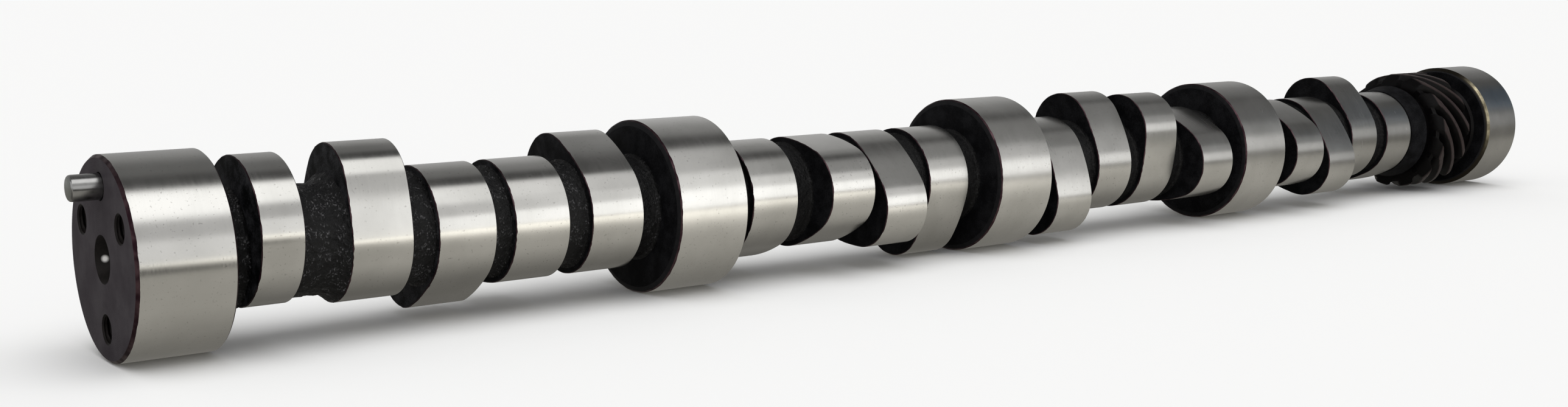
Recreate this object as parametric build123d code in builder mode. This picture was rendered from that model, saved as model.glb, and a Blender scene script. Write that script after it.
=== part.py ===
# Camshaft of a crossplane V8 with overhead valves and pushrods: one iron
# casting that is ground and hobbed, with a dowel pin pressed into its nose.
#
# The shaft lies along X. The origin is the middle of its front face, +X runs to
# the rear and +Z is up. Angles are clock angles: degrees from straight up,
# clockwise as seen from in front of the shaft.
import os
from math import acos, atan, cos, degrees, pi, radians, sin, tan

from build123d import *

# Bearing journals, all of one radius
journal_radius = 24.75
front_journal_length = 23.4
middle_journal_length = 23.2
rear_journal_length = 21.6
front_edge_chamfer = 0.75
journal_chamfer = 0.4
gear_side_chamfer = 1.2

# The cast core between the ground parts
core_radius = 14.1
cast_neck_length = 14.4
cast_neck_flare = 2.4
cast_neck_flare_length = 4.0

# Fuel pump eccentric behind the front journal; it passes through the front bearing
front_groove_width = 6.45
eccentric_width = 10.8
eccentric_radius = 18.7
eccentric_clearance = 0.2
eccentric_clock = 42.0

# Cam lobes: a base circle, two flank arcs and a nose arc, each tangent to the next
lobe_width = 16.4
base_circle_radius = 16.7
lobe_lift = 7.7
nose_radius = 13.0
flank_radius = 55.0

# Spaces along the shaft; with the lobes they make a bearing pitch of 122.94
journal_to_lobe = 7.75
exhaust_to_intake = 7.05
intake_to_intake = 5.6
lobe_to_journal = 6.69

# Valve timing, in degrees of camshaft turn after a cylinder fires
firing_order = [1, 8, 4, 3, 6, 5, 7, 2]
exhaust_peak = 125.0
intake_peak = 235.0
exhaust_lifter_lean = 45.0
intake_lifter_lean = 39.0
shaft_clock = 86.5

# Plain collar behind the last lobe, and the groove where the hob starts
collar_front_radius = 17.0
collar_radius = 18.7
collar_length = 8.3
front_hob_groove_width = 4.0
front_hob_groove_radius = 17.2

# Helical gear that drives the distributor and the oil pump
gear_teeth = 13
gear_pitch_radius = 21.2
gear_addendum = 2.2
gear_dedendum = 2.6
gear_lead = 104.0
gear_clock = 5.7
gear_pressure_angle = 20.0
gear_width = 19.9
gear_front_bevel = 3.3
gear_front_bevel_length = 1.5
gear_edge_chamfer = 0.8
rear_hob_groove_width = 10.9
rear_hob_groove_radius = 17.6
hob_over_tips = 1.0
hob_run_out = 1.5
gap_sections = 4

# Nose of the shaft: sprocket screws, dowel and lathe centre
screw_count = 3
screw_circle_radius = 16.7
screw_clock = 58.0
screw_drill_radius = 3.3
screw_mouth_radius = 3.6
screw_mouth_angle = 90.0
screw_hole_depth = 19.0
dowel_pressed_radius = 3.35
dowel_free_radius = 3.17
dowel_circle_radius = 17.4
dowel_clock = 2.0
dowel_depth = 12.0
dowel_stand_out = 7.1
dowel_end_chamfer = 0.6
centre_drill_radius = 3.1
centre_mouth_radius = 5.9
centre_angle = 60.0
centre_depth = 16.0


def clock_plane(x, clock=0.0):
    """Plane across the shaft at x that faces the front, its Y axis at a clock angle."""
    turn = radians(clock)
    across = (0, -cos(turn), -sin(turn))
    return Plane(origin=(x, 0, 0), x_dir=across, z_dir=(-1, 0, 0))


def valve_clock(cylinder, peak, lean):
    """Clock angle of the nose of a cylinder's lobe."""
    fired = firing_order.index(cylinder) * 360 / len(firing_order)
    bank = 1 if cylinder % 2 else -1
    return (shaft_clock + bank * lean - fired - peak) % 360


def exhaust_clock(cylinder):
    return valve_clock(cylinder, exhaust_peak, exhaust_lifter_lean)


def intake_clock(cylinder):
    return valve_clock(cylinder, intake_peak, intake_lifter_lean)


# Walk down the shaft: four lobes for each pair of cylinders, then a journal
journals = [(0.0, front_journal_length)]
eccentric_front = front_journal_length + front_groove_width
eccentric_rear = eccentric_front + eccentric_width
first_lobe_front = eccentric_rear + cast_neck_length
lobes = []
station = first_lobe_front
for odd in (1, 3, 5, 7):
    even = odd + 1
    lobes.append((station, exhaust_clock(odd)))
    station += lobe_width + exhaust_to_intake
    lobes.append((station, intake_clock(even)))
    station += lobe_width + intake_to_intake
    lobes.append((station, intake_clock(odd)))
    station += lobe_width + exhaust_to_intake
    lobes.append((station, exhaust_clock(even)))
    station += lobe_width
    if even < len(firing_order):
        station += lobe_to_journal
        journals.append((station, middle_journal_length))
        station += middle_journal_length + journal_to_lobe

# The teeth stand above and below the pitch circle
gear_tip_radius = gear_pitch_radius + gear_addendum
gear_root_radius = gear_pitch_radius - gear_dedendum
collar_front = station
collar_rear = collar_front + collar_length
gear_front = collar_rear + front_hob_groove_width
gear_rear = gear_front + gear_width
rear_journal_front = gear_rear + rear_hob_groove_width
journals.append((rear_journal_front, rear_journal_length))
shaft_length = rear_journal_front + rear_journal_length


def lobe_outline():
    """Lines of a lobe with its nose towards +Y, four arcs that meet in tangents."""
    nose_offset = base_circle_radius + lobe_lift - nose_radius
    to_base = flank_radius - base_circle_radius
    to_nose = flank_radius - nose_radius
    # the centres of base, nose and flank arc make a triangle with these three sides
    cos_flank = (to_base**2 + nose_offset**2 - to_nose**2) / (2 * to_base * nose_offset)
    flank_y = to_base * cos_flank
    flank_x = (to_base**2 - flank_y**2) ** 0.5
    base_end = acos(-cos_flank)
    nose_end = acos((nose_offset - flank_y) / to_nose)
    middle = (base_end + nose_end) / 2
    base_degrees = degrees(base_end)
    nose_degrees = degrees(nose_end)
    CenterArc((0, 0), base_circle_radius, 90 + base_degrees, 360 - 2 * base_degrees)
    CenterArc((0, nose_offset), nose_radius, 90 - nose_degrees, 2 * nose_degrees)
    for side in (-1, 1):
        ThreePointArc(
            (side * base_circle_radius * sin(base_end), base_circle_radius * cos(base_end)),
            (side * (flank_radius * sin(middle) - flank_x), flank_y + flank_radius * cos(middle)),
            (side * nose_radius * sin(nose_end), nose_offset + nose_radius * cos(nose_end)),
        )


def gap_point(radius, side):
    """Point on the involute flank of a tooth gap that opens towards +Y."""
    helix = atan(2 * pi * gear_pitch_radius / gear_lead)
    pressure = atan(tan(radians(gear_pressure_angle)) / cos(helix))
    base_radius = gear_pitch_radius * cos(pressure)
    at_radius = acos(min(1.0, base_radius / radius))
    half_tooth = pi / (2 * gear_teeth)
    half_tooth += (tan(pressure) - pressure) - (tan(at_radius) - at_radius)
    angle = side * (pi / gear_teeth - half_tooth)
    return (radius * sin(angle), radius * cos(angle))


def gap_outline():
    """Lines of the gap between two teeth: the root, two flanks and a lid past the tips."""
    lid_radius = gear_tip_radius + hob_over_tips
    middle_radius = (gear_root_radius + lid_radius) / 2
    ThreePointArc(
        gap_point(gear_root_radius, -1),
        (0, gear_root_radius),
        gap_point(gear_root_radius, 1),
    )
    for side in (-1, 1):
        ThreePointArc(
            gap_point(gear_root_radius, side),
            gap_point(middle_radius, side),
            gap_point(lid_radius, side),
        )
    Line(gap_point(lid_radius, -1), gap_point(lid_radius, 1))


# One gap of the gear, lofted through sections that turn with the helix
with BuildPart() as tooth_gap:
    gap_length = gear_width + 2 * hob_run_out
    for step in range(gap_sections + 1):
        along = gap_length * step / gap_sections - hob_run_out
        turned = gear_clock + 360 * along / gear_lead
        with BuildSketch(clock_plane(gear_front + along, turned)):
            with BuildLine():
                gap_outline()
            make_face()
    loft()

# The gear is turned as a blank between two grooves, and its gaps are hobbed
with BuildPart() as gear:
    with BuildSketch(Plane.XY):
        with BuildLine():
            Polyline(
                (collar_front, 0),
                (collar_front, collar_front_radius),
                (collar_rear, collar_radius),
                (collar_rear, front_hob_groove_radius),
                (gear_front, front_hob_groove_radius),
                (gear_front, gear_tip_radius - gear_front_bevel),
                (gear_front + gear_front_bevel_length, gear_tip_radius),
                (gear_rear - gear_edge_chamfer, gear_tip_radius),
                (gear_rear, gear_tip_radius - gear_edge_chamfer),
                (gear_rear, rear_hob_groove_radius),
                (rear_journal_front, rear_hob_groove_radius),
                (rear_journal_front, 0),
                close=True,
            )
        make_face()
    revolve(axis=Axis.X)
    for tooth in range(gear_teeth):
        add(tooth_gap.part, rotation=(tooth * 360 / gear_teeth, 0, 0), mode=Mode.SUBTRACT)


# The shaft itself: a cast core with the journals, eccentric and lobes ground on it
with BuildPart() as camshaft:
    with BuildSketch(clock_plane(rear_journal_front)):
        Circle(core_radius)
    extrude(amount=rear_journal_front)

    for front, length in journals:
        with BuildSketch(clock_plane(front + length)):
            Circle(journal_radius)
        extrude(amount=length)
    rims = camshaft.edges().filter_by(GeomType.CIRCLE)
    rims = rims.filter_by(lambda rim: rim.radius > core_radius).sort_by(Axis.X)
    chamfer(rims[0], length=front_edge_chamfer)
    chamfer(rims[1:-2] + rims[-1:], length=journal_chamfer)
    chamfer(rims[-2], length=gear_side_chamfer)

    # the eccentric's high side reaches almost to the journals' radius
    eccentric_offset = journal_radius - eccentric_clearance - eccentric_radius
    with BuildSketch(clock_plane(eccentric_rear, eccentric_clock)):
        with Locations((0, eccentric_offset)):
            Circle(eccentric_radius)
    extrude(amount=eccentric_width)

    # the neck behind the eccentric is left as cast, and flares out to the first lobe
    with BuildSketch(Plane.XY):
        with BuildLine():
            Polyline(
                (first_lobe_front - cast_neck_flare_length, 0),
                (first_lobe_front - cast_neck_flare_length, core_radius),
                (first_lobe_front, core_radius + cast_neck_flare),
                (first_lobe_front, 0),
                close=True,
            )
        make_face()
    revolve(axis=Axis.X)

    for front, clock in lobes:
        with BuildSketch(clock_plane(front + lobe_width, clock)):
            with BuildLine():
                lobe_outline()
            make_face()
    extrude(amount=lobe_width)

    add(gear.part)

    # tapped holes for the sprocket, drilled to the thread's root
    with Locations(clock_plane(0, screw_clock)):
        with PolarLocations(screw_circle_radius, screw_count, start_angle=90):
            CounterSinkHole(
                screw_drill_radius,
                screw_mouth_radius,
                depth=screw_hole_depth,
                counter_sink_angle=screw_mouth_angle,
            )
    with Locations(clock_plane(0, dowel_clock)):
        with Locations((0, dowel_circle_radius)):
            Hole(dowel_pressed_radius, depth=dowel_depth)

    # a lathe centre in each end
    for end in (clock_plane(0), Plane.YZ.offset(shaft_length)):
        with Locations(end):
            CounterSinkHole(
                centre_drill_radius,
                centre_mouth_radius,
                depth=centre_depth,
                counter_sink_angle=centre_angle,
            )

# The pin is pressed in to the bottom of its hole, and its free end is ground a little
# under, so that the sprocket slips over it
with BuildPart() as dowel_pin:
    with BuildSketch(clock_plane(dowel_depth, dowel_clock)):
        with Locations((0, dowel_circle_radius)):
            Circle(dowel_pressed_radius)
    extrude(amount=dowel_depth)
    with BuildSketch(clock_plane(0, dowel_clock)):
        with Locations((0, dowel_circle_radius)):
            Circle(dowel_free_radius)
    extrude(amount=dowel_stand_out)
    chamfer(dowel_pin.edges().sort_by(Axis.X)[0], length=dowel_end_chamfer)

camshaft.part.label = "camshaft"
dowel_pin.part.label = "dowel_pin"

os.makedirs("parts", exist_ok=True)
export_step(camshaft.part, "parts/camshaft.step")
export_step(dowel_pin.part, "parts/dowel_pin.step")
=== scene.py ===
# Camshaft of a crossplane pushrod V8, lying on a pale studio floor.
# Metres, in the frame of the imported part: the origin is the middle of the front
# face, +X runs to the rear and +Z is up. Clock angles are degrees from straight
# up, clockwise as seen from in front of the shaft.
from math import acos, atan, atan2, cos, degrees, pi, radians, sin, tan

import bmesh
import bpy
import numpy as np
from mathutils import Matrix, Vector, geometry, noise


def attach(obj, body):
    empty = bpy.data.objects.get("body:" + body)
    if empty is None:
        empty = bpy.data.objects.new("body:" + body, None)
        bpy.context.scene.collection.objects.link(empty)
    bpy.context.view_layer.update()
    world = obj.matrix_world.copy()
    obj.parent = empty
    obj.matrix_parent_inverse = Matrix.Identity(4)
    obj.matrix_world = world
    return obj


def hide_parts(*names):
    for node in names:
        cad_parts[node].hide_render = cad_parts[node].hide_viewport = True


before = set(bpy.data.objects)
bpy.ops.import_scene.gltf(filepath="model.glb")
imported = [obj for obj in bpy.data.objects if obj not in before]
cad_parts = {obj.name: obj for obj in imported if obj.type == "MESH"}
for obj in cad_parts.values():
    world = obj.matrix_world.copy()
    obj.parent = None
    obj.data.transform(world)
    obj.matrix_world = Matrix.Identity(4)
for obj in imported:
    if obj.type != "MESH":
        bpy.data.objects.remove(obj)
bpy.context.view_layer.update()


# The camera stands in front of the shaft's nose, a little above it and off to the
# side, and looks down the whole length of the shaft.
def put(name, data):
    """Puts a new object into the scene."""
    made = bpy.data.objects.new(name, data)
    bpy.context.scene.collection.objects.link(made)
    return made


eye_place = (-0.12057, -0.41662, 0.06879)
eye_down = 7.836
eye_aside = 37.745

eye = bpy.data.cameras.new("eye")
eye.sensor_width = 36
eye.sensor_fit = "HORIZONTAL"
eye.lens = 40.07
eye.clip_start = 0.01
eye_stand = put("eye", eye)
eye_stand.location = eye_place
eye_stand.rotation_euler = (radians(90 - eye_down), 0, radians(-eye_aside))
bpy.context.scene.camera = eye_stand

# The front journal is the nose of the iron casting, turned and then ground to 1.949 in
# across like the other four. Its face is tapped for the three screws of the timing
# sprocket, bored for the dowel and centre-drilled for the grinder.
MM = 0.001
journal_radius = 24.75 * MM
journal_chamfer = 0.4 * MM
front_journal_length = 23.4 * MM
front_edge_chamfer = 0.75 * MM
front_nicks = 0.06 * MM
facing_feed = 0.45 * MM
screw_clock = 58.0
screw_circle = 16.7 * MM
screw_mouth = 3.75 * MM
screw_mouth_depth = 0.4 * MM
screw_drill = 3.3 * MM
screw_depth = 19 * MM
screw_tip = 20.5 * MM
thread_pitch = 25.4 / 18 * MM
thread_start = 0.05 * MM
thread_depth = 0.55 * MM
thread_steps = 60
steps_a_turn = 8
dowel_clock = 2.0
dowel_circle = 17.4 * MM
dowel_mouth = 3.42 * MM
dowel_mouth_depth = 0.12 * MM
dowel_hole = 3.36 * MM
dowel_depth = 12 * MM
centre_mouth = 5.9 * MM
centre_drill = 3.1 * MM
centre_depth = 16 * MM
centre_tip = 17.8 * MM
centre_seat = (centre_mouth - centre_drill) / tan(radians(30))
# where a painted highlight sits on the lathe centre's seat
painted_glint_spot = (2.0 * MM, 4.7 * MM, -0.6 * MM)


class Skin:
    """The surface of a turned piece, laid as loops of points from front to rear, each
    joined by a band to the one before."""

    sharp_edge = radians(28)

    def __init__(self, around, centre=(0.0, 0.0)):
        self.around = around
        self.centre = centre
        self.points = []
        self.faces = []
        self.face_finish = []
        self.finishes = []
        self.count = 0
        self.last = None
        self.turn = 0.0

    def even(self):
        """Clock angles of an even loop, turned to meet the loop before."""
        return self.turn + np.arange(self.around) * 360 / self.around

    def loop(self, x, radius, clock, centre):
        """Adds a loop of points round a line along X and returns their numbers."""
        clock = np.radians(clock)
        radius = np.broadcast_to(radius, clock.shape)
        x = np.broadcast_to(x, clock.shape)
        side = centre[0] - radius * np.sin(clock)
        up = centre[1] + radius * np.cos(clock)
        self.points.append(np.column_stack([x, side, up]))
        numbers = np.arange(self.count, self.count + len(clock))
        self.count += len(clock)
        return numbers

    def add(self, faces, finish):
        """Adds faces, each a list of the numbers of its points."""
        if finish not in self.finishes:
            self.finishes.append(finish)
        self.faces.extend(faces)
        self.face_finish.extend([self.finishes.index(finish)] * len(faces))

    def band(self, front, rear, finish):
        """Joins two loops of as many points each."""
        quads = np.column_stack([front, np.roll(front, -1), np.roll(rear, -1), rear])
        self.add(quads.tolist(), finish)

    def close(self, loop, x, centre, finish):
        """Closes a loop with a fan to one point on its axis."""
        self.points.append(np.array([[x, centre[0], centre[1]]]))
        tip = np.full(len(loop), self.count)
        self.count += 1
        self.add(np.column_stack([loop, np.roll(loop, -1), tip]).tolist(), finish)

    def ring(self, x, radius, finish, clock=None):
        """Goes on along the piece to a new loop, with a band in that finish."""
        new = self.loop(x, radius, self.even() if clock is None else clock, self.centre)
        if self.last is not None:
            self.band(self.last, new, finish)
        self.last = new

    def piece(self, name):
        """Makes the mesh, shaded smooth but for its real edges."""
        mesh = bpy.data.meshes.new(name)
        mesh.from_pydata(np.vstack(self.points).tolist(), [], self.faces)
        for finish in self.finishes:
            mesh.materials.append(finish)
        mesh.polygons.foreach_set("material_index", self.face_finish)
        shell = bmesh.new()
        shell.from_mesh(mesh)
        bmesh.ops.recalc_face_normals(shell, faces=shell.faces)
        shell.to_mesh(mesh)
        shell.free()
        mesh.shade_smooth()
        mesh.set_sharp_from_angle(angle=self.sharp_edge)
        return put(name, mesh)


class Amount:
    """An output of a finish's nodes, with which sums are written. Without an output it
    is where a first node starts from."""

    def __init__(self, nodes, socket=None):
        self.nodes = nodes
        self.socket = socket

    def node(self, kind, settings, inputs, out=0):
        """Adds a node, sets it up, fills its sockets and gives one of its outputs, or
        nothing from a node that has none."""
        made = self.nodes.new(kind)
        for name, value in settings.items():
            setattr(made, name, value)
        for name, value in inputs.items():
            if isinstance(value, Amount):
                self.nodes.id_data.links.new(value.socket, made.inputs[name])
            else:
                made.inputs[name].default_value = value
        return Amount(self.nodes, made.outputs[out]) if made.outputs else None

    def math(self, operation, other=0.0):
        return self.node("ShaderNodeMath", {"operation": operation}, {0: self, 1: other})

    def __add__(self, other):
        return self.math("ADD", other)

    def __mul__(self, other):
        return self.math("MULTIPLY", other)

    def __sub__(self, other):
        return self.math("SUBTRACT", other)

    def __rsub__(self, other):
        return self.node("ShaderNodeMath", {"operation": "SUBTRACT"}, {0: other, 1: self})

    __radd__ = __add__
    __rmul__ = __mul__

    def vector(self, operation, other, out=0):
        """Vector maths with another place."""
        settings = {"operation": operation}
        return self.node("ShaderNodeVectorMath", settings, {0: self, 1: other}, out)

    def stretched(self, x, y, z):
        """This place, with each axis multiplied."""
        return self.vector("MULTIPLY", (x, y, z))

    def away_from(self, spot):
        """Distance of this place from a spot."""
        return self.vector("DISTANCE", spot, "Value")

    def off_axis(self):
        """Distance of this place from the shaft's axis."""
        return self.stretched(0.0, 1.0, 1.0).away_from((0.0, 0.0, 0.0))

    def axes(self):
        """The three coordinates of this place."""
        split = self.node("ShaderNodeSeparateXYZ", {}, {0: self}).socket.node.outputs
        return [Amount(self.nodes, split[axis]) for axis in "XYZ"]

    def nose(self, front, rear):
        """1 near the nose, falling to 0 between two stations along the shaft."""
        return 1 - self.axes()[0].between(front, rear)

    def between(self, low, high):
        """0 below low, 1 above high and smooth between them."""
        settings = {"interpolation_type": "SMOOTHSTEP"}
        inputs = {"Value": self, "From Min": low, "From Max": high}
        return self.node("ShaderNodeMapRange", settings, inputs)

    def blend(self, first, second):
        """The first colour where this is 0 and the second where it is 1."""
        settings = {"data_type": "RGBA"}
        return self.node("ShaderNodeMix", settings, {0: self, 6: first, 7: second}, 2)

    def grain(self, scale, detail=2.0, rough=0.5):
        """Noise at this place, from 0 to 1."""
        inputs = {"Vector": self, "Scale": scale, "Detail": detail, "Roughness": rough}
        return self.node("ShaderNodeTexNoise", {}, inputs)

    def relief(self, strength, distance):
        """A normal whose surface stands out by this height."""
        inputs = {"Height": self, "Strength": strength, "Distance": distance}
        return self.node("ShaderNodeBump", {}, inputs)


def finish(name, metallic, specular=0.5):
    """A new finish; returns it with its shader and the place on the shaft."""
    material = bpy.data.materials.new(name)
    material.use_nodes = True
    nodes = material.node_tree.nodes
    shader = nodes["Principled BSDF"]
    shader.inputs["Metallic"].default_value = metallic
    shader.inputs["Specular IOR Level"].default_value = specular
    place = Amount(nodes).node("ShaderNodeTexCoord", {}, {}, "Object")
    return material, shader, place


def wire(shader, **values):
    """Feeds the shader's sockets with what varies over the surface."""
    links = shader.id_data.links
    for name, value in values.items():
        links.new(value.socket, shader.inputs[name.replace("_", " ").title()])


# the grinding wheel leaves hair-fine marks round the shaft, deeper ones and dull patches
ground, shader, place = finish("ground_iron", 1.0)
hairs = place.stretched(1.0, 0.012, 0.012).grain(9000, 3.0, 0.6)
marks = place.stretched(1.0, 0.02, 0.02).grain(2200)
patches = place.grain(60, 3.0, 0.55)
pores = place.grain(1700, 1.0).between(0.67, 0.75)
dull, bright, pore = (0.44, 0.437, 0.42, 1), (0.50, 0.496, 0.48, 1), (0.37, 0.365, 0.35, 1)
wire(
    shader,
    base_color=pores.blend(patches.between(0.3, 0.7).blend(dull, bright), pore),
    roughness=0.215 + 0.06 * patches + 0.10 * (marks - 0.5) - 0.06 * place.nose(0.1, 0.3),
    normal=(0.5 * hairs + 0.5 * marks).relief(0.1, 0.00002),
)

# edges are broken with a stone, which leaves a thin line with a brownish tarnish
edge, shader, place = finish("broken_edge", 1.0)
tarnish = place.grain(260).between(0.35, 0.65)
clean, tarnished = (0.07, 0.042, 0.048, 1), (0.022, 0.010, 0.014, 1)
wire(
    shader,
    base_color=tarnish.blend(clean, tarnished),
    roughness=0.36 + 0.15 * tarnish,
)

# the face keeps the spiral of the facing tool under a dark stain
face, shader, place = finish("turned_face", 0.0, 0.006)
tool_marks = (place.off_axis() * (2 * pi / facing_feed)).math("SINE")
stain = place.grain(110, 4.0, 0.6)
grit = place.grain(1800, 3.0, 0.6)
stained, worn = (0.041, 0.0355, 0.040, 1), (0.057, 0.051, 0.0555, 1)
wire(
    shader,
    base_color=stain.between(0.3, 0.7).blend(stained, worn),
    roughness=0.40 + 0.18 * (grit - 0.5),
    normal=(0.25 * tool_marks + 0.6 * grit + 0.3 * stain).relief(0.28, 0.00005),
)

# the holes are dark inside, but for a painted highlight: a pale spot on the lathe centre's seat
# in place of a glint
bore, shader, place = finish("dark_bore", 0.0, 0.1)
swarf = place.grain(1200)
oily, dusty = (0.004, 0.0035, 0.0035, 1), (0.014, 0.011, 0.010, 1)
painted_glint_white = (0.9, 0.88, 0.85, 1)
off_painted_glint = place.away_from(painted_glint_spot).between(0.3 * MM, 1.1 * MM)
wire(
    shader,
    base_color=off_painted_glint.blend(painted_glint_white, swarf.blend(oily, dusty)),
    roughness=0.38 + 0.2 * swarf,
)

# one skin for the whole casting, with as many points around as the gear's teeth need
gear_teeth = 13
points_a_tooth = 20
shaft = Skin(gear_teeth * points_a_tooth)


def clock_point(clock, radius):
    """Side and height of a point at a clock angle."""
    return (-radius * sin(radians(clock)), radius * cos(radians(clock)))


# the face's rim and the mouths in it, then the flat face that joins them all
shaft.ring(0.0, journal_radius - front_edge_chamfer, face)
axis = (0.0, 0.0)
screws = [clock_point(screw_clock + turn, screw_circle) for turn in (0, 120, 240)]
dowel = clock_point(dowel_clock, dowel_circle)
mouths = [(screw, screw_mouth) for screw in screws] + [(dowel, dowel_mouth), (axis, centre_mouth)]
mouth_points = 48
mouth_clock = np.arange(mouth_points) * 360 / mouth_points
mouth_loops = [shaft.loop(0.0, size, mouth_clock, middle) for middle, size in mouths]
rings = [shaft.last] + mouth_loops
flat = [Vector(p[1:]) for p in np.vstack(shaft.points)]
sides = [(int(a), int(b)) for ring in rings for a, b in zip(ring, np.roll(ring, -1))]
tiles = geometry.delaunay_2d_cdt(flat, sides, [], 0, 1e-7)[2]
# the thinnest tile in a mouth has its middle nearer to the mouth's middle than this share
mouth_share = 0.995


def in_a_mouth(tile):
    """Whether a tile of the flat face covers one of the holes."""
    middle = sum((flat[i] for i in tile), Vector((0, 0))) / 3
    return any((middle - Vector(hole)).length < size * mouth_share for hole, size in mouths)


shaft.add([list(tile) for tile in tiles if not in_a_mouth(tile)], face)


def sink(mouth, middle, steps, tip):
    """Sinks a hole from its mouth through loops of a depth and a radius to its tip."""
    last = mouth
    for depth, size in steps:
        new = shaft.loop(depth, size, mouth_clock, middle)
        shaft.band(last, new, bore)
        last = new
    shaft.close(last, tip, middle, bore)


# three tapped holes for the sprocket's screws
thread = [(screw_mouth_depth, screw_drill + thread_start)]
for step in range(1, thread_steps + 1):
    depth = screw_mouth_depth + step * thread_pitch / steps_a_turn
    crest = np.abs((depth / thread_pitch + mouth_clock / 360) % 1.0 * 2 - 1)
    thread.append((depth, screw_drill + thread_depth * crest))
thread.append((screw_depth, screw_drill))
for screw, mouth in zip(screws, mouth_loops):
    sink(mouth, screw, thread, screw_tip)

# the dowel's hole, with a small break at its mouth, and the lathe centre: a 60 degree
# seat and a drilled relief
dowel_steps = [(dowel_mouth_depth, dowel_hole), (dowel_depth, dowel_hole)]
sink(mouth_loops[3], dowel, dowel_steps, dowel_depth)
centre_steps = [(centre_seat, centre_drill), (centre_depth, centre_drill)]
sink(mouth_loops[4], axis, centre_steps, centre_tip)


def nicks(height, seed):
    """Small unevenness of a broken edge, one value a point."""
    rough = np.random.RandomState(seed).normal(size=shaft.around)
    soft = (rough + np.roll(rough, 1) + np.roll(rough, -1)) / 3
    return height * np.clip(soft, -1.5, 1.5)


def ground_to(rear):
    """The ground band of a journal, up to the broken edge at its rear."""
    shaft.ring(rear - journal_chamfer, journal_radius, ground)
    shaft.ring(rear, journal_radius - journal_chamfer, edge)


shaft.ring(front_edge_chamfer + nicks(front_nicks, 3), journal_radius, edge)
ground_to(front_journal_length)

# The fuel pump eccentric is a ground disc of the casting, set off the shaft's middle.
# Behind it the neck is left as it came out of the sand. All that isn't ground has the
# black phosphate that the shaft is dipped in.
core_radius = 14.1 * MM
groove_fillet = 1.1 * MM
groove_sand = 0.16 * MM
sand_size = 1.6 * MM
edge_break = 0.22 * MM
journal_to_eccentric = 6.45 * MM
eccentric_width = 10.8 * MM
eccentric_radius = 18.7 * MM
eccentric_clock = 42.0
eccentric_clearance = 0.2 * MM
eccentric_offset = journal_radius - eccentric_clearance - eccentric_radius
eccentric_nicks = 0.10 * MM
neck_length = 14.4 * MM
neck_steps = 24
neck_sand = 0.30 * MM
flare = 2.4 * MM
flare_length = 4.0 * MM
flare_power = 1.6

# milled flanks are fairly smooth under the black, with grey specks that are painted denser near
# the nose, a painted falloff of the light along the shaft
flank, shader, place = finish("black_flank", 0.0, 0.025)
cloud = place.grain(220, 4.0, 0.6)
speck = place.grain(2600, 2.0, 0.6)
specks_and_nose_light = (0.6 * cloud + 0.4 * speck).between(0.40, 0.66)
# painted light: the specks fade from the nose back, as the light falls off
specks_and_nose_light = specks_and_nose_light * (0.2 + 0.8 * place.nose(0.06, 0.14))
black, grey_specks_colour = (0.0035, 0.0035, 0.004, 1), (0.042, 0.042, 0.046, 1)
wire(
    shader,
    base_color=specks_and_nose_light.blend(black, grey_specks_colour),
    roughness=0.5 + 0.3 * (speck - 0.5),
    normal=(0.5 * cloud + 0.5 * speck).relief(0.4, 0.00009),
)

# the core keeps its sandy skin, with pale specks painted in as glints, brighter near the nose as
# a painted falloff of the light
core, shader, place = finish("black_cast_core", 0.0, 0.2)
sand = place.grain(1100, 4.0, 0.65)
pits = place.grain(420, 3.0, 0.6)
painted_glint_specks = place.stretched(1.0, 0.6, 0.6).grain(2600, 3.0).between(0.52, 0.70)
# the painted glints fade from the nose back, a painted falloff of the light
painted_glint_specks = painted_glint_specks * pits.between(0.44, 0.62) * (0.15 + 0.85 * place.nose(0.05, 0.2))
black, painted_glint_grey = (0.0035, 0.0035, 0.0038, 1), (0.12, 0.118, 0.122, 1)
wire(
    shader,
    base_color=painted_glint_specks.blend(black, painted_glint_grey),
    roughness=0.50 + 0.4 * (sand - 0.5) - 0.24 * painted_glint_specks,
    normal=(0.5 * sand + 0.5 * pits).relief(1.0, 0.0009),
)


def sandy(x, clock, height):
    """Unevenness of a cast surface, one value a point."""
    turn = np.radians(clock)
    x = np.broadcast_to(x, clock.shape)
    places = np.column_stack([x, core_radius * np.sin(turn), core_radius * np.cos(turn)])
    return height * np.array([noise.fractal(Vector(p), 1.0, 2.0, 3) for p in places / sand_size])


def groove(front, length):
    """The cast core between two ground parts, with a fillet in each corner."""
    rear = front + length
    clock = shaft.even()
    shaft.ring(front, core_radius + groove_fillet, flank)
    corner = [(1 - cos(t), 1 - sin(t)) for t in (0.5, 1.0, pi / 2)]
    steps = [(front + groove_fillet * x, groove_fillet * rise) for x, rise in corner]
    steps += [((front + rear) / 2, 0.0)] + [(front + rear - x, rise) for x, rise in steps[::-1]]
    for x, rise in steps:
        shaft.ring(x, core_radius + rise + sandy(x, clock, groove_sand), core)
    shaft.ring(rear, core_radius + groove_fillet, core)
    return rear


def eccentric_size(radius):
    """Distance from the shaft's middle to a circle set off it, or to the core."""
    turn = np.radians(shaft.even() - eccentric_clock)
    across = eccentric_offset * np.sin(turn)
    size = eccentric_offset * np.cos(turn) + np.sqrt(radius**2 - across**2)
    return np.maximum(size, core_radius)


eccentric_front = groove(front_journal_length, journal_to_eccentric)
eccentric_rear = eccentric_front + eccentric_width
wide = eccentric_size(eccentric_radius)
narrow = eccentric_size(eccentric_radius - edge_break)
shaft.ring(eccentric_front, narrow, flank)
shaft.ring(eccentric_front + edge_break + nicks(eccentric_nicks, 11), wide, edge)
shaft.ring(eccentric_rear - edge_break, wide, ground)
shaft.ring(eccentric_rear, narrow, edge)

clock = shaft.even()
for step in range(neck_steps + 1):
    along = neck_length * step / neck_steps
    rise = flare * max(0.0, 1 - (neck_length - along) / flare_length) ** flare_power
    x = eccentric_rear + along
    size = core_radius + rise + sandy(x, clock, neck_sand)
    shaft.ring(x, size, core if step else flank)

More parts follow.
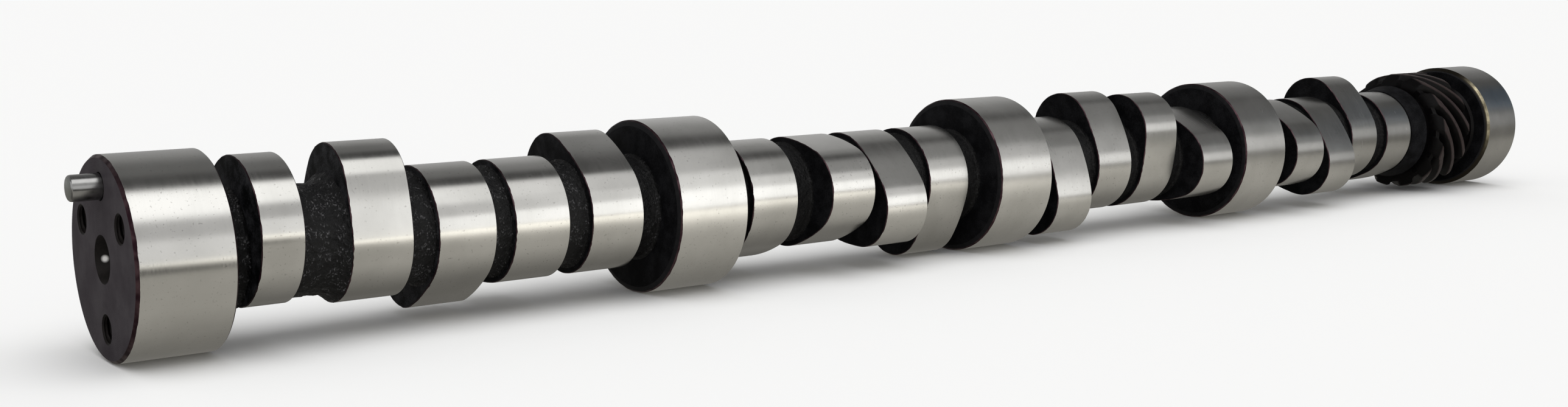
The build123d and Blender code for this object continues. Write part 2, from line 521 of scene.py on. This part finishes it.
# Sixteen lobes stand in four groups of four, one group for each pair of cylinders, with
# a journal between the groups. Each lobe is a base circle, two flank arcs and a nose arc,
# milled in the casting, hardened and then ground.
lobe_width = 16.4 * MM
base_circle = 16.7 * MM
lobe_lift = 7.7 * MM
nose_radius = 13.0 * MM
flank_radius = 55.0 * MM
lobe_nicks = 0.11 * MM
exhaust_to_intake = 7.05 * MM
intake_to_intake = 5.6 * MM
lobe_to_journal = 6.69 * MM
journal_to_lobe = 7.75 * MM
middle_journal_length = 23.2 * MM
side_bevel = 0.35 * MM
side_bevel_height = 1.7 * MM
journal_nicks = 0.10 * MM
shaft_clock = 86.5
firing_order = [1, 8, 4, 3, 6, 5, 7, 2]
# degrees that a lobe turns from firing to its peak, and that its lifters lean
exhaust = (125, 45)
intake = (235, 39)

# the sides of the journals are bevelled by a coarser cut than the lobes
bevelled, shader, place = finish("journal_side_bevel", 0.0, 0.06)
swirl = place.grain(500, 3.0, 0.6)
black, cut = (0.004, 0.004, 0.0045, 1), (0.017, 0.0165, 0.018, 1)
wire(shader, base_color=swirl.blend(black, cut), roughness=0.36 + 0.2 * swirl)


def journal(front, length, chamfer=journal_chamfer, front_edge=edge):
    """A ground journal with an edge broken at each end, and a bevelled front side."""
    shaft.ring(front, journal_radius - side_bevel_height, flank)
    shaft.ring(front + side_bevel, journal_radius - chamfer, bevelled)
    edge_rear = front + side_bevel + chamfer
    shaft.ring(edge_rear + nicks(journal_nicks, 7), journal_radius, front_edge)
    ground_to(front + length)
    return front + length


def lobe_radius(turned):
    """Distance from the middle to a lobe's surface, by the angle from its nose."""
    turn = np.radians((turned + 180) % 360 - 180)
    across, up = np.abs(np.sin(turn)), np.cos(turn)
    offset = base_circle + lobe_lift - nose_radius
    to_base = flank_radius - base_circle
    to_nose = flank_radius - nose_radius
    cos_flank = (to_base**2 + offset**2 - to_nose**2) / (2 * to_base * offset)
    flank_y = to_base * cos_flank
    flank_x = (to_base**2 - flank_y**2) ** 0.5
    nose_end = acos((offset - flank_y) / to_nose)
    nose_limit = atan2(nose_radius * sin(nose_end), offset + nose_radius * cos(nose_end))
    nose = offset * up + np.sqrt(np.maximum(nose_radius**2 - (offset * across) ** 2, 0))
    lean = flank_y * up - flank_x * across
    side = lean + np.sqrt(lean**2 - flank_x**2 - flank_y**2 + flank_radius**2)
    size = np.where(np.abs(turn) < nose_limit, nose, side)
    return np.where(np.abs(turn) > acos(-cos_flank), base_circle, size)


def lobe(front, cylinder, peak, lean):
    """One lobe, its nose set by when its cylinder fires."""
    fired = firing_order.index(cylinder) * 360 / len(firing_order)
    bank = 1 if cylinder % 2 else -1
    size = lobe_radius(shaft.even() - (shaft_clock + bank * lean - fired - peak))
    rear = front + lobe_width
    shaft.ring(front, size - edge_break, flank)
    shaft.ring(front + edge_break + nicks(lobe_nicks, cylinder), size, edge)
    shaft.ring(rear - edge_break, size, ground)
    shaft.ring(rear, size - edge_break, edge)
    return rear


station = eccentric_rear + neck_length
for odd in (1, 3, 5, 7):
    even = odd + 1
    station = lobe(station, odd, *exhaust)
    station = lobe(groove(station, exhaust_to_intake), even, *intake)
    station = lobe(groove(station, intake_to_intake), odd, *intake)
    station = lobe(groove(station, exhaust_to_intake), even, *exhaust)
    if odd < 7:
        station = journal(groove(station, lobe_to_journal), middle_journal_length)
        station = groove(station, journal_to_lobe)

# Behind the last lobe a tapered collar leads to the gear that drives the distributor.
# It has thirteen right-hand helical teeth, hobbed in the casting and left oily and dark,
# and a turned groove in front of it and behind it.
collar_radius = 17.0 * MM
collar_taper = 1.6 * MM
collar_taper_length = 7.9 * MM
collar_length = 8.3 * MM
collar_rear_radius = 18.7 * MM
collar_edge_length = 0.25 * MM
collar_edge_height = 0.2 * MM
collar_steps = 6
collar_sand = 0.05 * MM
front_groove_length = 4.0 * MM
front_groove_radius = 17.2 * MM
front_groove_corner = 0.2 * MM
front_groove_steps = (0.4 * MM, 0.9 * MM)
pitch_radius = 21.2 * MM
tip_radius = pitch_radius + 2.2 * MM
root_radius = pitch_radius - 2.6 * MM
pressure_angle = 20
gear_length = 19.9 * MM
gear_lead = 104.0 * MM
gear_clock = 5.7
gear_steps = 30
flank_points = 6
front_bevel = 3.3 * MM
front_bevel_length = 1.5 * MM
rear_bevel = 0.8 * MM
run_in_height = 3.0 * MM
run_in_length = 7.5 * MM
run_in_power = 1.5
rear_groove_length = 10.9 * MM
rear_groove_radius = 17.6 * MM
rear_groove_flare = 0.8 * MM
loop_change = 0.5 * MM

oily_gear, shader, place = finish("oily_gear", 0.0, 0.1)
# painted highlight: the tooth crests are coloured a lighter brown than the rest of the gear
tip = place.off_axis().between(22.95 * MM, 23.35 * MM)
oil = place.grain(300, 4.0, 0.6)
grit = place.grain(2400)
gap_black, painted_crest_brown = (0.0022, 0.0018, 0.002, 1), (0.034, 0.024, 0.023, 1)
oil_black = (0.006, 0.0045, 0.0045, 1)
wire(
    shader,
    base_color=oil.between(0.5, 0.9).blend(tip.blend(gap_black, painted_crest_brown), oil_black),
    roughness=0.34 + 0.2 * (oil - 0.5),
    normal=(0.5 * oil + 0.5 * grit).relief(0.3, 0.00006),
)


def gap_angle(radius):
    """Half the angle of a tooth gap at a radius, from the involute."""
    helix = atan(2 * pi * pitch_radius / gear_lead)
    pressure = atan(tan(radians(pressure_angle)) / cos(helix))
    at_radius = acos(min(1.0, pitch_radius * cos(pressure) / radius))
    half_tooth = pi / (2 * gear_teeth) + (tan(pressure) - pressure)
    half_tooth -= tan(at_radius) - at_radius
    return degrees(pi / gear_teeth - half_tooth)


# half a gap: the root, the flank and the land of the tooth; then its mirror image
gap_end = gap_angle(tip_radius)
land = 180 / gear_teeth - gap_end
half = [(0.0, root_radius), (0.5 * gap_angle(root_radius), root_radius)]
half += [(gap_angle(r), r) for r in np.linspace(root_radius, tip_radius, flank_points)]
half += [(gap_end + land * share, tip_radius) for share in (0.33, 0.67)]
other_half = [(360 / gear_teeth - a, r) for a, r in reversed(half[1:])]
tooth = half + [(180 / gear_teeth, tip_radius)] + other_half
tooth_clock = np.array([360 / gear_teeth * k + a for k in range(gear_teeth) for a, r in tooth])
tooth_radius = np.array([r for k in range(gear_teeth) for a, r in tooth])

clock = shaft.even()
shaft.ring(station, collar_radius, flank)
for step in range(1, collar_steps + 1):
    x = station + collar_taper_length * step / collar_steps
    size = collar_radius + collar_taper * step / collar_steps
    shaft.ring(x, size + sandy(x, clock, collar_sand), flank)
collar_rear = station + collar_length
shaft.ring(collar_rear - collar_edge_length, collar_rear_radius, flank)
shaft.ring(collar_rear, collar_rear_radius - collar_edge_height, edge)
corner, floor_start = (collar_rear + step for step in front_groove_steps)
shaft.ring(corner, front_groove_radius + front_groove_corner, oily_gear)
shaft.ring(floor_start, front_groove_radius, oily_gear)

# the hob ran in over the first few millimetres, so the gaps begin shallow and narrow
gear_front = collar_rear + front_groove_length
shaft.ring(gear_front, front_groove_radius, oily_gear, tooth_clock + gear_clock)
for step in range(gear_steps + 1):
    along = gear_length * step / gear_steps
    clock = tooth_clock + gear_clock + along * 360 / gear_lead
    at_front = front_bevel * (1 - along / front_bevel_length)
    at_rear = rear_bevel - (gear_length - along)
    bevel = tip_radius - max(at_front, at_rear, 0.0)
    run_in = run_in_height * max(0.0, 1 - along / run_in_length) ** run_in_power
    size = np.minimum(tooth_radius + run_in, bevel)
    shaft.ring(gear_front + along, size, oily_gear, clock)

gear_rear = gear_front + gear_length
rear_journal_front = gear_rear + rear_groove_length
shaft.ring(gear_rear, rear_groove_radius, oily_gear, clock)
shaft.turn = gear_clock + 360 * gear_length / gear_lead
shaft.ring(gear_rear + loop_change, rear_groove_radius, oily_gear)
shaft.ring(rear_journal_front - rear_groove_flare, rear_groove_radius, oily_gear)
shaft.ring(rear_journal_front, rear_groove_radius + rear_groove_flare, oily_gear)

# The rear journal ends the casting. Its face is turned and centre-drilled like the
# front one and nothing is fixed to it. Its front edge carries a painted highlight, a
# brassy band painted on the side that lies upward.
rear_journal_length = 21.6 * MM
rear_edge_chamfer = 1.2 * MM

glint_edge, shader, place = finish("painted_glint_edge", 1.0)
radius, height = place.off_axis(), place.axes()[2]
# painted highlight: a brassy band on the upper side of the front edge's chamfer
edge_glint_mask = radius.between(23.8 * MM, 24.1 * MM)
edge_glint_mask = edge_glint_mask * height.between(-12 * MM, 4 * MM) * (1 - height.between(16 * MM, 22 * MM))
edge_glint_mask = edge_glint_mask * (1 - 0.6 * place.grain(300, 4.0, 0.6).between(0.4, 0.65))
dark, painted_brass_glint = (0.030, 0.026, 0.020, 1), (0.36, 0.32, 0.22, 1)
wire(shader, base_color=edge_glint_mask.blend(dark, painted_brass_glint), roughness=0.36 - 0.08 * edge_glint_mask)

rear_face = journal(rear_journal_front, rear_journal_length, rear_edge_chamfer, glint_edge)
shaft.ring(rear_face, centre_mouth, face)
shaft.ring(rear_face - centre_seat, centre_drill, face)
shaft.ring(rear_face - centre_depth, centre_drill, bore)
shaft.close(shaft.last, rear_face - centre_tip, axis, bore)

camshaft = shaft.piece("camshaft_casting")
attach(camshaft, "root")
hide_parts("camshaft")

# The dowel is a hardened steel pin, ground all over and pressed into the nose. Its
# free end is a little smaller and is rounded, to lead the sprocket on.
pin_points = 64
# stations along the pin and its radii there, in millimetres, from inside the hole out
pressed_end = [(12.0, 2.9), (11.7, 3.35), (0.6, 3.35)]
free_end = [(0.4, 3.17), (-6.35, 3.17), (-6.75, 3.08), (-7.0, 2.84), (-7.1, 2.62)]

pin_steel, shader, place = finish("dowel_steel", 1.0)
lines_along = place.stretched(1.0, 0.02, 0.02).grain(6000)
smudge = place.grain(700, 3.0)
smudged, polished = (0.25, 0.25, 0.248, 1), (0.33, 0.33, 0.327, 1)
wire(
    shader,
    base_color=smudge.blend(smudged, polished),
    roughness=0.16 + 0.12 * smudge,
    normal=lines_along.relief(0.08, 0.00002),
)

pin_end, shader, place = finish("dowel_end", 1.0)
scuff = place.grain(900, 3.0, 0.6)
scuffed, clear = (0.17, 0.18, 0.168, 1), (0.32, 0.33, 0.31, 1)
wire(shader, base_color=scuff.blend(scuffed, clear), roughness=0.30 + 0.2 * scuff)

pin = Skin(pin_points, dowel)
for x, size in pressed_end + free_end:
    pin.ring(x * MM, size * MM, pin_steel)
inner_loop = np.arange(pin_points)
pin.close(pin.last, free_end[-1][0] * MM, dowel, pin_end)
pin.close(inner_loop, pressed_end[0][0] * MM, dowel, pin_steel)
dowel_pin = pin.piece("dowel")
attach(dowel_pin, "root")
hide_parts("dowel_pin")

# The floor is a pale matt sheet that runs out of sight. The shaft lies on it on its
# journals, and a wide lamp overhead gives it a soft shadow.
reach = 30.0
corners = [(-reach, -reach), (reach, -reach), (reach, reach), (-reach, reach)]
floor_mesh = bpy.data.meshes.new("floor")
floor_mesh.from_pydata([(x, y, -journal_radius) for x, y in corners], [], [(0, 1, 2, 3)])
paper, shader, _ = finish("pale_floor", 0.0, 0.0)
shader.inputs["Base Color"].default_value = (0.93, 0.93, 0.925, 1)
shader.inputs["Roughness"].default_value = 0.9
floor_mesh.materials.append(paper)
floor = put("floor", floor_mesh)

lamp = bpy.data.lights.new("overhead", "SUN")
lamp.energy = 1.5
lamp.angle = radians(70)
overhead = put("overhead", lamp)
overhead.rotation_euler = (radians(14), 0, 0)
overhead.visible_glossy = False

# A half round tent of dim cloth with long soft boxes in it hangs over the shaft. Only
# bright metal sees it, as the bands that run along it.
tent_radius = 1.0
tent_turns = np.radians(np.arange(-14, 195, 4))
tent_ends = (-1.6, 5.0)


def glowing(name):
    """A material that only shines; returns it with the place on it."""
    material = bpy.data.materials.new(name)
    material.use_nodes = True
    nodes = material.node_tree.nodes
    nodes.clear()
    return material, Amount(nodes).node("ShaderNodeTexCoord", {}, {}, "Object")


def hang(name, points, faces, material, colour, strength):
    """Hangs a reflector that is seen only in the metal, and lights it."""
    light = strength.node("ShaderNodeEmission", {}, {"Color": colour, "Strength": strength})
    light.node("ShaderNodeOutputMaterial", {}, {"Surface": light})
    mesh = bpy.data.meshes.new(name)
    mesh.from_pydata(points, [], faces)
    mesh.materials.append(material)
    reflector = put(name, mesh)
    reflector.visible_camera = False
    reflector.visible_diffuse = False
    reflector.visible_shadow = False


# turn goes from 0 at the near side over 90 at the top to 180 at the far side
cloth, place = glowing("tent_cloth")
x, y, z = place.axes()
turn = z.math("ARCTAN2", 0 - y) * (180 / pi)
turn = turn + 360 * turn.math("LESS_THAN", -90.0)


def box(low, high, soft):
    """A soft box between two angles round the shaft."""
    return turn.between(low - soft, low + soft) * (1 - turn.between(high - soft, high + soft))


# the cloth is brighter past the top, and most of all beyond the shaft's middle
past_top = turn.between(100, 120) * (x.between(0.4, 0.8) - x.between(1.0, 1.5))
glow = 0.09 + 0.19 * turn.between(118, 150) + 0.13 * turn.between(96, 110)
# a high box over the nose fades to the rear, and a dim one goes on where it ends
rear_box = box(46, 90, 6) * x.between(0.85, 1.15) * (1 - x.between(1.3, 1.8))
glow = glow + 0.22 * rear_box + 0.16 * past_top
glow = glow + 1.95 * box(46, 82, 5) * (1 - x.between(0.3, 1.15))
# two lower boxes run the whole length of the tent and are dim towards its rear
far_end = x.between(1.0, 2.1)
hump = x.between(0.45, 0.8) * (1 - x.between(0.9, 1.3))
glow = glow + box(21, 46, 4) * (0.65 + 0.6 * hump - 0.61 * far_end)
low_box = box(-7, 22, 4) * (0.5 + 0.5 * x.between(0.3, 0.8))
glow = glow + 2.1 * low_box * (1 - 0.93 * far_end)
# far beyond the shaft's end the near side is blue, which the rear journal shows
white, sky_blue = (1.0, 0.995, 0.985, 1), (0.45, 0.85, 1.35, 1)
blue = x.between(2.0, 2.2) * turn.between(24, 40) * (1 - turn.between(66, 92))

across = [(-tent_radius * cos(t), tent_radius * sin(t)) for t in tent_turns]
tent_points = [(end, side, up) for side, up in across for end in tent_ends]
tent_faces = [(i, i + 1, i + 3, i + 2) for i in range(0, len(tent_points) - 2, 2)]
hang("light_tent", tent_points, tent_faces, cloth, blue.blend(white, sky_blue), glow)

# A warm grey card lies just over the floor and lights the lower half of the metal. It
# carries a painted shadow where the shaft touches the floor and is dim on the far side.
card_height = 0.0001 - journal_radius
card_sides = (-0.99, 0.5)

board, place = glowing("card_board")
x, y, _ = place.axes()
near = 0 - y
hump = x.between(0.07, 0.19) * (1 - x.between(0.30, 0.50))
glow = 0.60 - 0.52 * near.between(0.11, 0.15) * (1 - x.between(0.07, 0.15))
glow = glow + 1.45 * hump * near.between(0.03, 0.17) - 0.2 * x.between(0.42, 0.58)
glow = glow + 0.6 * hump * near.between(0.12, 0.4)
glow = glow - 0.2 * x.between(0.5, 0.62) * near.between(0.05, 0.08)
# painted shadow of the shaft: the glow falls off towards where the shaft touches the floor
glow = glow * (0.35 + 0.65 * near.between(0.002, 0.036)) * (1 - y.between(0.0, 0.02))
glow = glow + 0.3 * y.between(0.0, 0.04)
warm = (1.0, 0.965, 0.88, 1)
card_points = [(end, side, card_height) for end in tent_ends for side in card_sides]
hang("grey_card", card_points, [(0, 1, 3, 2)], board, warm, glow)

# Beyond the floor everything is plain white, for the eye and for what the metal
# shows; the rest of the light is a soft even fill.
world = bpy.data.worlds.new("studio")
world.use_nodes = True
bpy.context.scene.world = world
nodes = world.node_tree.nodes
background = nodes["Background"]
background.inputs["Color"].default_value = (1, 1, 1, 1)
seen = Amount(nodes).node("ShaderNodeLightPath", {}, {}, "Is Camera Ray")
for ray in ("Is Glossy Ray", "Is Transmission Ray"):
    seen = seen.math("MAXIMUM", Amount(nodes).node("ShaderNodeLightPath", {}, {}, ray))
wire(background, strength=0.55 + 0.45 * seen)

bpy.context.scene.view_settings.view_transform = "Standard"
